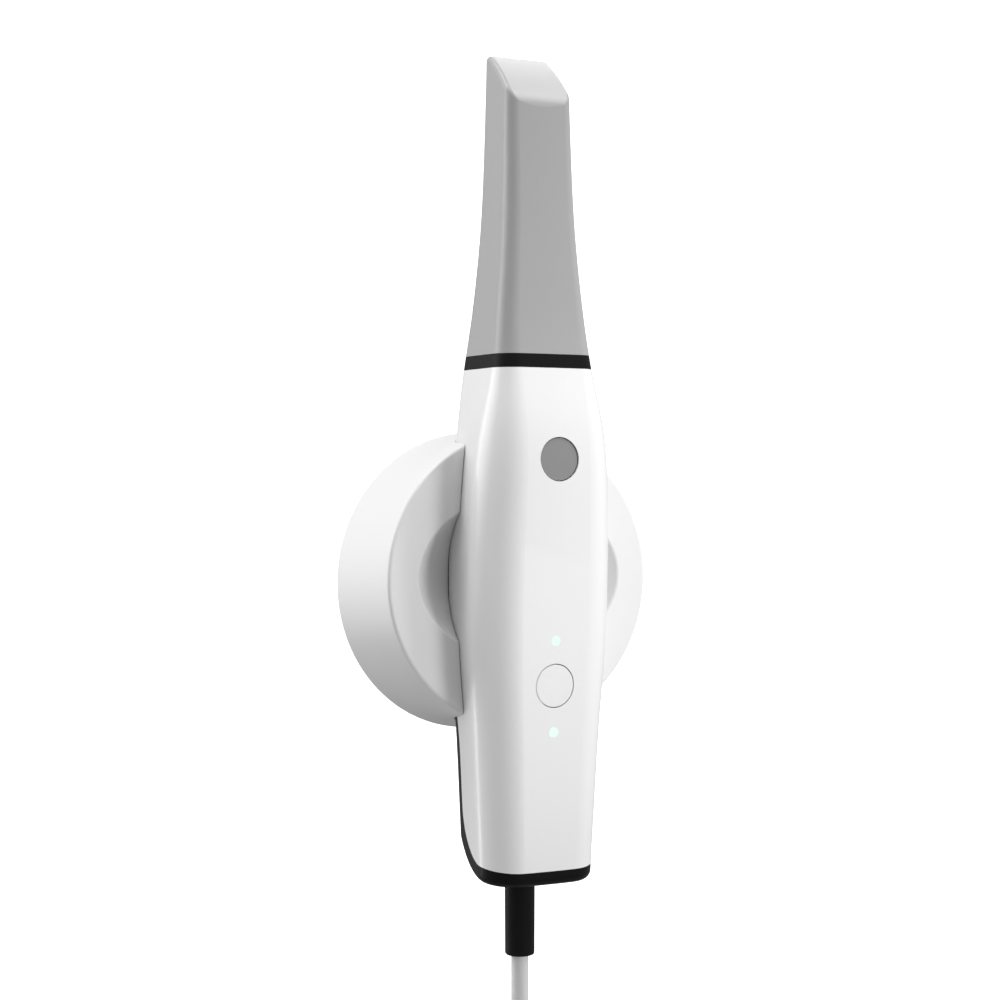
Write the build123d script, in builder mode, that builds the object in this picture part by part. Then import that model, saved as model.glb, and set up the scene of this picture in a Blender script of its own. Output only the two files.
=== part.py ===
from build123d import *
import os
from collections import namedtuple
from math import degrees, pi, radians, tan

# Intraoral scanner standing in the groove of its round wall holder, in millimetres.
# The origin is the centre of the holder's back on the wall, +Y points into the wall, +Z is up.

# Holder
holder_depth = 29.0
holder_back_radius = 42.4
holder_front_radius = 40.9
holder_rise = 1.6  # the front ring's centre stands this much above the back's
holder_wall = 2.6
holder_edge_radius = 0.9
scoop_half_width = 36.8
scoop_radius = 25.8
scoop_height = 2.2
scoop_lead = 13.0  # how far the scoop's axis lies ahead of the ring face
scoop_rim_radius = 0.8
cradle_clearance = 0.2
plate_thickness = 3.0
plate_clearance = 0.2
plate_rim = 1.5  # wall left around the plate at the holder's back
plate_pcd = 60.0
plate_hole_count = 3
plate_hole_radius = 2.25
plate_sink_radius = 4.2
lug_count = 3
lug_width = 9.0
lug_reach = 5.0
lug_thickness = 1.8
lug_gap = 0.25
lug_inset = 2.2  # the holder's room narrows by this much along a lug
lug_turn = 60.0  # degrees from the screw holes to the lugs

# Magnets in the holder and steel keepers in the handpiece
magnet_radius = 6.0
magnet_thickness = 3.0
keeper_thickness = 1.5
magnet_skin = 1.2  # plastic left in front of a magnet or keeper
magnet_fit = 0.05
magnet_boss_wall = 1.8
magnet_lip = 0.5
magnet_spacing = 44.0

# Handpiece housing
handpiece_depth = 27.0  # from the wall to the plane that the handpiece is measured from
shell_wall = 1.8
cover_step = 0.05  # the black cover lies this much under the white shell's surface
shell_bottom = -77.3
body_bottom = -81.6
bottom_slope = 4.9  # degrees, rising towards the wall
bottom_back_radius = 21.0
bottom_edge_radius = 2.5
seam_slope = 9.0  # degrees, rising towards the wall
seam_corner_radius = 15.0
seam_low_depth = 4.0
seam_bend_height = -43.0
seam_bend_radius = 60.0
seam_lean = 0.2
seam_mid_depth = 9.0
seam_mid_height = 4.0
seam_top_height = 40.0
collar_bottom = 59.1
collar_height = 3.7

# Tip, mirror and nose
tip_front_height = 132.4
tip_height = 145.6
tip_rest_gap = 0.1
tip_wall = 1.4
tip_end_wall = 1.8
tip_edge_radius = 1.3
tip_bulge = 0.8  # the slanted end bows out by this much
tip_top_round = 3.0
tip_lead = 6.0  # how far the cut below the end runs on, clear of the tip
brow_height = 130.7  # where the end's rounded lower edge meets the front
brow_angle = 12.0  # degrees between the front and that edge
brow_radius = 8.0
window_width = 12.6
window_height = 14.0
window_radius = 3.0
window_centre = 133.6
mirror_thickness = 1.0
mirror_width = 13.0
mirror_length = 15.0
mirror_gap = 0.05
nose_clearance = 0.5
nose_wall = 1.3
nose_height = 108.0
nose_window_thickness = 1.5
nose_window_fit = 0.05
nose_flange_height = 3.6
flange_fit = 0.05

# Buttons and lights
scan_button_height = 34.4
mode_button_height = -26.8
button_radius = 5.8
button_clearance = 0.2
button_edge_radius = 0.25
scan_button_recess = 0.35
mode_button_recess = 0.05
button_seat_depth = 3.2
button_rest_gap = 0.05
button_flange_radius = 7.0
button_flange_thickness = 1.0
button_boss_radius = 7.6
button_travel = 0.6
button_stem_radius = 2.0
button_stem_length = 0.8
switch_gap = 0.2  # left between stem and switch at full travel
upper_light_height = -14.6
lower_light_height = -39.4
light_radius = 1.4
light_fit = 0.05

# Boards and what stands on them
board_thickness = 1.2
button_board_half_width = 9.0
button_board_top = 44.0
button_board_bottom = -52.0
switch_size = 6.0
switch_base_height = 1.6
switch_cap_height = 0.8
switch_cap_radius = 1.6
led_size = 2.0
led_height = 0.8
led_gap = 0.2
post_radius = 2.6
post_inset = 2.6  # from a board's side edge to a post's axis
button_post_heights = (18.0, -48.0)
main_post_heights = (15.0, -56.0)
screw_radius = 0.8
screw_fit = 0.02
screw_hole_radius = 1.1
screw_head_radius = 1.8
screw_head_height = 1.2
screw_length = 6.0
main_board_half_width = 11.0
main_board_top = 20.0
main_board_bottom = -62.0
board_spacing = 6.0  # clear depth between the two boards
chip_size = 14.0
chip_height = 1.6
chip_centre = -8.0
sink_width = 20.0
sink_length = 32.0
sink_base = 2.0
sink_fin_height = 4.0
sink_fin_thickness = 1.2
sink_fin_count = 6

# Optics under the nose
optics_depth = -30.0
chassis_height = 42.0
chassis_thickness = 4.0
chassis_half_width = 12.6
chassis_depth = 13.0
chassis_leg_width = 2.2
chassis_leg_depth = 8.0
projector_radius = 4.4
projector_top = 54.0
projector_lens_thickness = 2.0
camera_radius = 2.4
camera_offset = 7.4
camera_top = 51.0
camera_lens_thickness = 1.2
barrel_wall = 0.8
barrel_fit = 0.05
lens_sink = 0.5
sensor_board_height = 26.0
sensor_board_depth = 12.0

# Cable, boot, coil and plug
cable_radius = 2.4
cable_depth = -28.5
boot_radius = 4.25
boot_end_radius = 4.1
boot_bottom = -102.9
boot_end_round = 0.8
boot_flange_radius = 6.0
boot_flange_thickness = 2.0
boot_seat_height = -69.0
boot_seat_radius = 7.4
boot_fit = 0.1
connector_width = 10.0
connector_height = 8.0
connector_thickness = 5.0
lead_radius = 1.8
coil_radius = 27.0
coil_half_width = 9.7
coil_half_height = 7.3
coil_corner_radius = 2.3
coil_x = -7.9
coil_z = -166.9
tie_thickness = 1.2
tie_width = 9.0
tie_gap = 0.1
plug_body_length = 26.0
plug_body_width = 15.0
plug_body_thickness = 7.6
plug_body_radius = 2.4
plug_end_radius = 1.0
plug_shell_length = 18.75
plug_shell_width = 12.0
plug_shell_thickness = 4.5
plug_shell_wall = 0.35
plug_tongue_thickness = 1.8
plug_tongue_length = 16.5
plug_tongue_gap = 0.2

# Route of the cable from the boot to the coil, and of its free end from the coil to the plug
cable_points = [(0.0, -28.5, -102.9), (0.0, -28.5, -119.0), (5.5, -25.2, -134.0), (16.0, -21.3, -146.0)]
tail_points = [
    (8.0, -35.7, -139.4),
    (17.5, -37.6, -144.9),
    (24.6, -40.4, -153.3),
    (28.4, -42.6, -163.7),
    (28.4, -42.6, -174.7),
]

seat_y = -handpiece_depth  # plane that the handpiece is measured from
ring_y = -holder_depth  # the ring face
collar_top = collar_bottom + collar_height

# One cross-section of the handpiece: half widths at the front and back corners before rounding,
# the front and back faces measured from that plane, their crown, and the corner radii.
Station = namedtuple("Station", "height front_half back_half front back crown front_radius back_radius")
stations = [
    Station(-90.0, 18.0, 12.6, -17.9, 11.2, 0.9, 8.8, 6.0),
    Station(-43.0, 20.9, 14.6, -19.8, 11.6, 1.1, 10.0, 6.0),
    Station(-13.0, 23.0, 17.0, -21.3, 11.5, 1.2, 11.0, 6.0),
    Station(17.0, 22.6, 16.9, -22.6, 11.5, 1.2, 11.0, 6.0),
    Station(34.4, 21.5, 15.6, -23.2, 11.3, 1.2, 10.5, 6.0),
    Station(45.5, 19.3, 14.8, -22.2, 10.4, 1.0, 9.0, 5.5),
    Station(56.6, 16.1, 13.8, -19.9, 9.7, 0.7, 6.5, 5.0),
    Station(62.5, 15.0, 13.2, -18.6, 8.9, 0.6, 5.5, 4.5),
    Station(73.0, 13.6, 12.2, -17.2, 7.1, 0.5, 4.6, 4.0),
    Station(90.0, 11.9, 10.8, -15.8, 5.4, 0.4, 4.0, 3.6),
    Station(106.0, 10.9, 10.0, -14.9, 4.3, 0.4, 3.6, 3.3),
    Station(133.0, 10.2, 9.4, -13.8, 3.3, 0.4, 3.2, 3.0),
    Station(152.0, 9.9, 9.1, -13.3, 3.0, 0.4, 3.2, 3.0),
]
slice_count = 19  # even slices that the smooth body is drawn through
least_corner = 0.8
reach = 120.0  # longer than the handpiece is wide, for cutting blocks


def slope(index, field):
    """Rate of change of one size at a station, taken from the stations on both sides."""
    before = stations[max(index - 1, 0)]
    after = stations[min(index + 1, len(stations) - 1)]
    return (getattr(after, field) - getattr(before, field)) / (after.height - before.height)


def size_at(height, field):
    """One size of the handpiece at any height, on a smooth cubic between the stations."""
    index = max(i for i in range(len(stations) - 1) if stations[i].height <= height or i == 0)
    below, above = stations[index], stations[index + 1]
    span = above.height - below.height
    t = (height - below.height) / span
    start = getattr(below, field) * (1 + 2 * t) * (1 - t) ** 2 + slope(index, field) * span * t * (1 - t) ** 2
    end = getattr(above, field) * t**2 * (3 - 2 * t) + slope(index + 1, field) * span * t**2 * (t - 1)
    return start + end


def section(height, inset):
    """The handpiece's outline at one height, drawn in by inset."""
    station = Station(height, *[size_at(height, field) for field in Station._fields[1:]])
    front_y = seat_y + station.front + inset
    back_y = seat_y + station.back - inset
    front_half = station.front_half - inset
    back_half = station.back_half - inset
    with BuildSketch(Plane.XY.offset(station.height)) as outline:
        with BuildLine():
            front_edge = ThreePointArc(
                (-front_half, front_y + station.crown), (0, front_y), (front_half, front_y + station.crown)
            )
            back_edge = ThreePointArc(
                (back_half, back_y - station.crown), (0, back_y), (-back_half, back_y - station.crown)
            )
            Line(front_edge @ 1, back_edge @ 0)
            Line(back_edge @ 1, front_edge @ 0)
        make_face()
        fillet(outline.vertices().group_by(Axis.Y)[0], max(station.front_radius - inset, least_corner))
        fillet(outline.vertices().group_by(Axis.Y)[-1], max(station.back_radius - inset, least_corner))
    return outline.sketch


def handpiece_form(inset):
    """The whole handpiece as one smooth body, drawn in by inset."""
    low, high = stations[0].height, stations[-1].height
    heights = [low + (high - low) * i / (slice_count - 1) for i in range(slice_count)]
    with BuildPart() as form:
        loft([section(height, inset) for height in heights])
    return form.part


def rod(radius, start_y, end_y, x, z, mode=Mode.ADD):
    """A round bar along Y."""
    with Locations((x, (start_y + end_y) / 2, z)):
        Cylinder(radius, abs(end_y - start_y), rotation=(90, 0, 0), mode=mode)


def bar(low, high, mode=Mode.ADD):
    """A block between two corners."""
    with Locations(tuple((a + b) / 2 for a, b in zip(low, high))):
        Box(*[b - a for a, b in zip(low, high)], mode=mode)


outer_form = handpiece_form(0.0)


def surface_depths(z):
    """Y of the handpiece's front and back at its middle."""
    with BuildLine() as probe:
        Line((0, seat_y - reach, z), (0, seat_y + reach, z))
    depths = [v.Y for edge in outer_form.intersect(probe.edge()) for v in edge.vertices()]
    return min(depths), max(depths)


def slab(low, high, mode=Mode.INTERSECT):
    """A wide block between two heights."""
    bar((-reach, -reach, low), (reach, reach, high), mode)


def bottom_height(y, inset):
    """Height of the handpiece's sloping lower end, drawn in by inset."""
    front_y = seat_y + size_at(body_bottom, "front")
    return body_bottom + inset + (y - front_y) * tan(radians(bottom_slope))


def body_block(inset, top):
    """Block that gives the housing its sloping lower end and rounded lower back."""
    front_far, back_far = seat_y - reach, seat_y + reach
    back_y = seat_y + size_at(seam_bend_height, "back") - inset
    corner_top = bottom_height(back_y, inset) + bottom_back_radius + 1.0
    with BuildPart() as block:
        with BuildSketch(Plane.YZ) as outline:
            with BuildLine():
                Polyline(
                    (front_far, bottom_height(front_far, inset)),
                    (back_y, bottom_height(back_y, inset)),
                    (back_y, corner_top),
                    (back_far, corner_top),
                    (back_far, top),
                    (front_far, top),
                    close=True,
                )
            make_face()
            corner = outline.vertices().sort_by_distance((back_y, bottom_height(back_y, inset)))[0]
            fillet(corner, bottom_back_radius - inset)
        extrude(amount=reach, both=True)
    return block.part


def turn_radii(points):
    """Bend radius at each inner point of a route, as wide as its shorter run allows."""
    radii = []
    for before, here, after in zip(points, points[1:], points[2:]):
        run_in = Vector(*here) - Vector(*before)
        run_out = Vector(*after) - Vector(*here)
        half_turn = radians(run_in.get_angle(run_out)) / 2
        radii.append(0.45 * min(run_in.length, run_out.length) / tan(half_turn))
    return radii


inner_form = handpiece_form(shell_wall)
liner_form = handpiece_form(shell_wall / 2)
cradle_form = handpiece_form(-cradle_clearance)
cradle_back_form = handpiece_form(-cradle_clearance - holder_wall)
flange_form = handpiece_form(shell_wall + flange_fit)
nose_form = handpiece_form(tip_wall + nose_clearance)
nose_bore_form = handpiece_form(tip_wall + nose_clearance + nose_wall)

# Depths of the layers inside the housing, from the buttons back to the main board
scan_front = surface_depths(scan_button_height)[0]
mode_front = surface_depths(mode_button_height)[0]
scan_seat = scan_front + button_seat_depth
mode_seat = mode_front + button_seat_depth
mode_stem_end = mode_seat + button_rest_gap + button_flange_thickness + button_stem_length
switch_front = mode_stem_end + button_travel + switch_gap
button_board_front = switch_front + switch_base_height + switch_cap_height
button_board_back = button_board_front + board_thickness
main_board_front = button_board_back + board_spacing
main_board_back = main_board_front + board_thickness
button_post_x = button_board_half_width - post_inset
main_post_x = main_board_half_width - post_inset
magnet_heights = (holder_rise + magnet_spacing / 2, holder_rise - magnet_spacing / 2)
screw_depth = screw_length - board_thickness

# Everything of the housing that lies behind the seam, in side view
shell_front_y = seat_y + size_at(shell_bottom, "front")
seam_rise = tan(radians(seam_slope))
seam_low_y = seat_y + seam_low_depth
seam_low_height = shell_bottom + (seam_low_y - shell_front_y) * seam_rise
with BuildPart() as rear_region:
    with BuildSketch(Plane.YZ) as seam_outline:
        with BuildLine():
            Polyline(
                (seat_y - reach, shell_bottom + (seat_y - reach - shell_front_y) * seam_rise),
                (seam_low_y, seam_low_height),
                (seam_low_y + seam_lean, seam_bend_height),
                (seat_y + seam_mid_depth, seam_mid_height),
                (seat_y + seam_mid_depth + seam_lean, seam_top_height),
                (seat_y + reach, seam_top_height + reach),
                (seat_y + reach, -reach),
                (seat_y - reach, -reach),
                close=True,
            )
        make_face()
        fillet(seam_outline.vertices().sort_by_distance((seam_low_y, seam_low_height))[0], seam_corner_radius)
        bend = (seam_low_y + seam_lean, seam_bend_height)
        fillet(seam_outline.vertices().sort_by_distance(bend)[0], seam_bend_radius)
        bend = (seat_y + seam_mid_depth, seam_mid_height)
        fillet(seam_outline.vertices().sort_by_distance(bend)[0], seam_bend_radius)
        bend = (seat_y + seam_mid_depth + seam_lean, seam_top_height)
        fillet(seam_outline.vertices().sort_by_distance(bend)[0], seam_corner_radius)
    extrude(amount=reach, both=True)

# Room inside the housing, open at the top
with BuildPart() as housing_room:
    add(inner_form)
    add(body_block(shell_wall, collar_bottom + collar_height), mode=Mode.INTERSECT)

# White front shell with button bosses and posts for the button board
with BuildPart() as front_shell:
    add(outer_form)
    add(body_block(0.0, collar_bottom), mode=Mode.INTERSECT)
    add(rear_region.part, mode=Mode.SUBTRACT)
    add(housing_room.part, mode=Mode.SUBTRACT)
with BuildPart() as front_bosses:
    rod(button_boss_radius, scan_front - reach / 2, scan_seat, 0, scan_button_height)
    rod(button_boss_radius, mode_front - reach / 2, mode_seat, 0, mode_button_height)
    for post_height in button_post_heights:
        for post_x in (-button_post_x, button_post_x):
            rod(post_radius, scan_front - reach / 2, button_board_front, post_x, post_height)
    add(liner_form, mode=Mode.INTERSECT)
with front_shell:
    add(front_bosses.part)
    for hole_height in (scan_button_height, mode_button_height):
        rod(button_radius + button_clearance, seat_y - reach, switch_front, 0, hole_height, Mode.SUBTRACT)
    for hole_height in (upper_light_height, lower_light_height):
        rod(light_radius + light_fit, seat_y - reach, switch_front, 0, hole_height, Mode.SUBTRACT)
    for post_height in button_post_heights:
        for post_x in (-button_post_x, button_post_x):
            bore_end = button_board_front - screw_depth
            rod(screw_radius + screw_fit, bore_end, button_board_front, post_x, post_height, Mode.SUBTRACT)

# Black rear cover with posts for the main board, bosses for the keepers and a seat for the boot
with BuildPart() as rear_cover:
    add(handpiece_form(cover_step))
    add(body_block(cover_step, collar_bottom), mode=Mode.INTERSECT)
    low_faces = rear_cover.faces().filter_by(lambda face: face.normal_at().Z < -0.3)
    low_edges = [edge for face in low_faces for edge in face.edges()]
    rim = [edge for edge in low_edges if sum(edge.is_same(other) for other in low_edges) == 1]
    fillet(rim, bottom_edge_radius)
    add(rear_region.part, mode=Mode.INTERSECT)
    add(housing_room.part, mode=Mode.SUBTRACT)
with BuildPart() as rear_bosses:
    for post_height in main_post_heights:
        for post_x in (-main_post_x, main_post_x):
            rod(post_radius, main_board_back, seat_y + reach, post_x, post_height)
    for magnet_height in magnet_heights:
        keeper_back = surface_depths(magnet_height)[1] - cover_step - magnet_skin
        boss_front = keeper_back - keeper_thickness - magnet_lip
        boss_radius = magnet_radius + magnet_fit + magnet_boss_wall
        rod(boss_radius, boss_front, seat_y + reach, 0, magnet_height)
    with Locations((0, cable_depth, boot_seat_height)):
        Cylinder(boot_seat_radius, reach, align=(Align.CENTER, Align.CENTER, Align.MAX))
    add(liner_form, mode=Mode.INTERSECT)
    add(body_block(shell_wall / 2, collar_bottom), mode=Mode.INTERSECT)
with rear_cover:
    add(rear_bosses.part)
    for post_height in main_post_heights:
        for post_x in (-main_post_x, main_post_x):
            bore_end = main_board_back + screw_depth
            rod(screw_radius + screw_fit, main_board_back, bore_end, post_x, post_height, Mode.SUBTRACT)
    for magnet_height in magnet_heights:
        keeper_back = surface_depths(magnet_height)[1] - cover_step - magnet_skin
        boss_front = keeper_back - keeper_thickness - magnet_lip
        rod(magnet_radius + magnet_fit, boss_front, keeper_back, 0, magnet_height, Mode.SUBTRACT)
    with Locations((0, cable_depth, boot_seat_height)):
        Cylinder(boot_radius + boot_fit, reach / 2, mode=Mode.SUBTRACT)

# Black collar between housing and tip
with BuildPart() as collar_ring:
    add(outer_form)
    slab(collar_bottom, collar_top)
    add(flange_form, mode=Mode.SUBTRACT)

# Nose that the tip slides over, with its glass
with BuildPart() as nose_flange:
    add(flange_form)
    slab(collar_bottom - nose_flange_height, collar_bottom)
with BuildPart() as nose_tube:
    add(nose_form)
    slab(collar_bottom - nose_flange_height / 2, nose_height)
    add(nose_flange.part)
    add(nose_bore_form, mode=Mode.SUBTRACT)
with BuildPart() as nose_window:
    add(handpiece_form(tip_wall + nose_clearance + nose_wall + nose_window_fit))
    slab(nose_height - nose_window_thickness, nose_height)

# Grey slip-on tip with its slanted end and the window facing the wall
tip_front_y = seat_y + size_at(tip_front_height, "front")
tip_rise = tip_height - tip_front_height  # the end slants at 45 degrees
tip_top_y = tip_front_y + tip_rise
brow_lean = tan(radians(brow_angle))
brow_run = (tip_front_height - brow_height) / (1 - brow_lean)
with BuildPart() as tip_block:
    with BuildSketch(Plane.YZ) as tip_outline:
        with BuildLine():
            high_end = Vector(tip_top_y, tip_height)
            brow = Vector(tip_front_y + brow_run * brow_lean, brow_height + brow_run)
            low_end = Vector(tip_front_y - tip_lead * brow_lean, brow_height - tip_lead)
            bowed = (brow + high_end) / 2 + Vector(-1, 1).normalized() * tip_bulge
            ThreePointArc(brow, bowed, high_end)
            Polyline(
                high_end,
                (seat_y + reach, tip_height),
                (seat_y + reach, collar_top + tip_rest_gap),
                (seat_y - reach, collar_top + tip_rest_gap),
                (seat_y - reach, low_end.Y),
                low_end,
                brow,
            )
        make_face()
        fillet(tip_outline.vertices().sort_by_distance(high_end)[0], tip_top_round)
        fillet(tip_outline.vertices().sort_by_distance(brow)[0], brow_radius)
    extrude(amount=reach, both=True)
slant_offset = tip_front_height - tip_front_y - tip_end_wall * 2**0.5  # height minus depth on the inner slant
room_top = tip_height - tip_end_wall
with BuildPart() as tip_room:
    with BuildSketch(Plane.YZ):
        with BuildLine():
            Polyline(
                (seat_y - reach / 2, seat_y - reach / 2 + slant_offset),
                (room_top - slant_offset, room_top),
                (seat_y + reach, room_top),
                (seat_y + reach, body_bottom),
                (seat_y - reach / 2, body_bottom),
                close=True,
            )
        make_face()
    extrude(amount=reach, both=True)
    add(handpiece_form(tip_wall), mode=Mode.INTERSECT)
with BuildPart() as scan_tip:
    add(outer_form)
    add(tip_block.part, mode=Mode.INTERSECT)
    end_faces = scan_tip.faces().filter_by(lambda face: face.normal_at().Z > 0.3)
    end_edges = [edge for face in end_faces for edge in face.edges()]
    rim = [edge for edge in end_edges if sum(edge.is_same(other) for other in end_edges) == 1]
    fillet(rim, tip_edge_radius)
    add(tip_room.part, mode=Mode.SUBTRACT)
    with BuildSketch(Plane.XZ.offset(-seat_y)):
        with Locations((0, window_centre)):
            RectangleRounded(window_width, window_height, window_radius)
    extrude(amount=-reach, mode=Mode.SUBTRACT)

# Mirror under the slanted end
mirror_low_y = tip_front_y + tip_wall
mirror_mid_y = (mirror_low_y + room_top - slant_offset) / 2
mirror_plane = Plane((0, mirror_mid_y, mirror_mid_y + slant_offset), x_dir=(1, 0, 0), z_dir=(0, 1, -1))
with BuildPart() as tip_mirror:
    with BuildSketch(mirror_plane.offset(mirror_gap)):
        Rectangle(mirror_width, mirror_length)
    extrude(amount=mirror_thickness)

# Buttons, each flush with or just under the shell, with a flange behind its boss and a stem to its switch
with BuildPart() as scan_button:
    rod(button_radius, seat_y - reach, scan_seat + button_rest_gap, 0, scan_button_height)
    add(handpiece_form(scan_button_recess), mode=Mode.INTERSECT)
    fillet(scan_button.edges().group_by(Axis.Y)[0], button_edge_radius)
with scan_button:
    flange_front = scan_seat + button_rest_gap
    flange_back = flange_front + button_flange_thickness
    rod(button_flange_radius, flange_front, flange_back, 0, scan_button_height)
    rod(button_stem_radius, flange_back, mode_stem_end, 0, scan_button_height)
with BuildPart() as mode_button:
    rod(button_radius, seat_y - reach, mode_seat + button_rest_gap, 0, mode_button_height)
    add(handpiece_form(mode_button_recess), mode=Mode.INTERSECT)
    fillet(mode_button.edges().group_by(Axis.Y)[0], button_edge_radius)
with mode_button:
    flange_front = mode_seat + button_rest_gap
    flange_back = flange_front + button_flange_thickness
    rod(button_flange_radius, flange_front, flange_back, 0, mode_button_height)
    rod(button_stem_radius, flange_back, mode_stem_end, 0, mode_button_height)

# Light pipes from the button board to the shell's surface
led_front = button_board_front - led_height
with BuildPart() as upper_light_pipe:
    rod(light_radius, seat_y - reach, led_front - led_gap, 0, upper_light_height)
    add(outer_form, mode=Mode.INTERSECT)
with BuildPart() as lower_light_pipe:
    rod(light_radius, seat_y - reach, led_front - led_gap, 0, lower_light_height)
    add(outer_form, mode=Mode.INTERSECT)

# Button board with switches and lights
with BuildPart() as button_board:
    low = (-button_board_half_width, button_board_front, button_board_bottom)
    bar(low, (button_board_half_width, button_board_back, button_board_top))
    for post_height in button_post_heights:
        for post_x in (-button_post_x, button_post_x):
            rod(screw_hole_radius, button_board_front, button_board_back, post_x, post_height, Mode.SUBTRACT)
switch_body_front = button_board_front - switch_base_height
with BuildPart() as button_switches:
    for switch_height in (scan_button_height, mode_button_height):
        low = (-switch_size / 2, switch_body_front, switch_height - switch_size / 2)
        bar(low, (switch_size / 2, button_board_front, switch_height + switch_size / 2))
        rod(switch_cap_radius, switch_front, switch_body_front, 0, switch_height)
with BuildPart() as indicator_leds:
    for light_height in (upper_light_height, lower_light_height):
        low = (-led_size / 2, led_front, light_height - led_size / 2)
        bar(low, (led_size / 2, button_board_front, light_height + led_size / 2))

# Main board with its processor, heat sink and cable connector
with BuildPart() as main_board:
    low = (-main_board_half_width, main_board_front, main_board_bottom)
    bar(low, (main_board_half_width, main_board_back, main_board_top))
    for post_height in main_post_heights:
        for post_x in (-main_post_x, main_post_x):
            rod(screw_hole_radius, main_board_front, main_board_back, post_x, post_height, Mode.SUBTRACT)
chip_back = main_board_back + chip_height
with BuildPart() as processor_chip:
    low = (-chip_size / 2, main_board_back, chip_centre - chip_size / 2)
    bar(low, (chip_size / 2, chip_back, chip_centre + chip_size / 2))
fin_pitch = (sink_width - sink_fin_thickness) / (sink_fin_count - 1)
with BuildPart() as heat_sink:
    low = (-sink_width / 2, chip_back, chip_centre - sink_length / 2)
    bar(low, (sink_width / 2, chip_back + sink_base, chip_centre + sink_length / 2))
    for fin in range(sink_fin_count):
        fin_x = -sink_width / 2 + fin * fin_pitch
        low = (fin_x, chip_back + sink_base, chip_centre - sink_length / 2)
        fin_back = chip_back + sink_base + sink_fin_height
        bar(low, (fin_x + sink_fin_thickness, fin_back, chip_centre + sink_length / 2))
with BuildPart() as cable_connector:
    low = (-connector_width / 2, main_board_back, main_board_bottom)
    high = (connector_width / 2, main_board_back + connector_thickness, main_board_bottom + connector_height)
    bar(low, high)
with BuildPart() as board_screws:
    for post_height in button_post_heights:
        for post_x in (-button_post_x, button_post_x):
            head_back = button_board_back + screw_head_height
            rod(screw_head_radius, button_board_back, head_back, post_x, post_height)
            rod(screw_radius, button_board_back - screw_length, button_board_back, post_x, post_height)
    for post_height in main_post_heights:
        for post_x in (-main_post_x, main_post_x):
            head_front = main_board_front - screw_head_height
            rod(screw_head_radius, head_front, main_board_front, post_x, post_height)
            rod(screw_radius, main_board_front, main_board_front + screw_length, post_x, post_height)

# Optics: sensor board, chassis, projector and cameras looking up the nose
sensor_top = sensor_board_height + board_thickness
chassis_top = chassis_height + chassis_thickness
optics_front = optics_depth - chassis_depth / 2
flange_bottom = collar_bottom - nose_flange_height
with BuildPart() as sensor_board:
    low = (-chassis_half_width, optics_depth - sensor_board_depth / 2, sensor_board_height)
    bar(low, (chassis_half_width, optics_depth + sensor_board_depth / 2, sensor_top))
with BuildPart() as optics_chassis:
    low = (-chassis_half_width, optics_front, chassis_height)
    bar(low, (chassis_half_width, optics_front + chassis_depth, chassis_top))
    for leg_x in (-chassis_half_width, chassis_half_width - chassis_leg_width):
        low = (leg_x, optics_depth - chassis_leg_depth / 2, sensor_top)
        bar(low, (leg_x + chassis_leg_width, optics_depth + chassis_leg_depth / 2, flange_bottom))
    with Locations((0, optics_depth, chassis_height)):
        Cylinder(projector_radius + barrel_fit, reach, mode=Mode.SUBTRACT)
    for camera_x in (-camera_offset, camera_offset):
        with Locations((camera_x, optics_depth, chassis_height)):
            Cylinder(camera_radius + barrel_fit, reach, mode=Mode.SUBTRACT)
up = (Align.CENTER, Align.CENTER, Align.MIN)
with BuildPart() as projector_barrel:
    with Locations((0, optics_depth, sensor_top)):
        Cylinder(projector_radius, projector_top - sensor_top, align=up)
        Cylinder(projector_radius - barrel_wall, projector_top - sensor_top, align=up, mode=Mode.SUBTRACT)
with BuildPart() as projector_lens:
    with Locations((0, optics_depth, projector_top - lens_sink - projector_lens_thickness)):
        Cylinder(projector_radius - barrel_wall - barrel_fit, projector_lens_thickness, align=up)
with BuildPart() as camera_barrels:
    with Locations((-camera_offset, optics_depth, sensor_top), (camera_offset, optics_depth, sensor_top)):
        Cylinder(camera_radius, camera_top - sensor_top, align=up)
        Cylinder(camera_radius - barrel_wall, camera_top - sensor_top, align=up, mode=Mode.SUBTRACT)
lens_low = camera_top - lens_sink - camera_lens_thickness
with BuildPart() as camera_lenses:
    with Locations((-camera_offset, optics_depth, lens_low), (camera_offset, optics_depth, lens_low)):
        Cylinder(camera_radius - barrel_wall - barrel_fit, camera_lens_thickness, align=up)

# Round holder with finger scoop and a groove that follows the handpiece
with BuildPart() as scoop:
    with BuildSketch(Plane.XY.offset(scoop_height)):
        with Locations((0, ring_y - scoop_lead)):
            Ellipse(scoop_half_width, scoop_radius)
            Rectangle(reach, reach, align=(Align.CENTER, Align.MAX), mode=Mode.SUBTRACT)
    revolve(axis=Axis((0, ring_y - scoop_lead, scoop_height), (1, 0, 0)))
with BuildPart() as scoop_back:
    with BuildSketch(Plane.XY.offset(scoop_height)):
        with Locations((0, ring_y - scoop_lead)):
            Ellipse(scoop_half_width + holder_wall, scoop_radius + holder_wall)
            Rectangle(reach, reach, align=(Align.CENTER, Align.MAX), mode=Mode.SUBTRACT)
    revolve(axis=Axis((0, ring_y - scoop_lead, scoop_height), (1, 0, 0)))
with BuildPart() as holder_room:
    with BuildSketch(Plane.XZ):
        Circle(holder_back_radius - holder_wall)
    with BuildSketch(Plane.XZ.offset(holder_depth - holder_wall)):
        with Locations((0, holder_rise)):
            Circle(holder_front_radius - holder_wall)
    loft()
    add(cradle_back_form, mode=Mode.SUBTRACT)
    add(scoop_back.part, mode=Mode.SUBTRACT)
    for magnet_height in magnet_heights:
        magnet_front = surface_depths(magnet_height)[1] + cradle_clearance + magnet_skin
        boss_back = magnet_front + magnet_thickness + magnet_lip
        boss_radius = magnet_radius + magnet_fit + magnet_boss_wall
        rod(boss_radius, ring_y, boss_back, 0, magnet_height, Mode.SUBTRACT)
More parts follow.
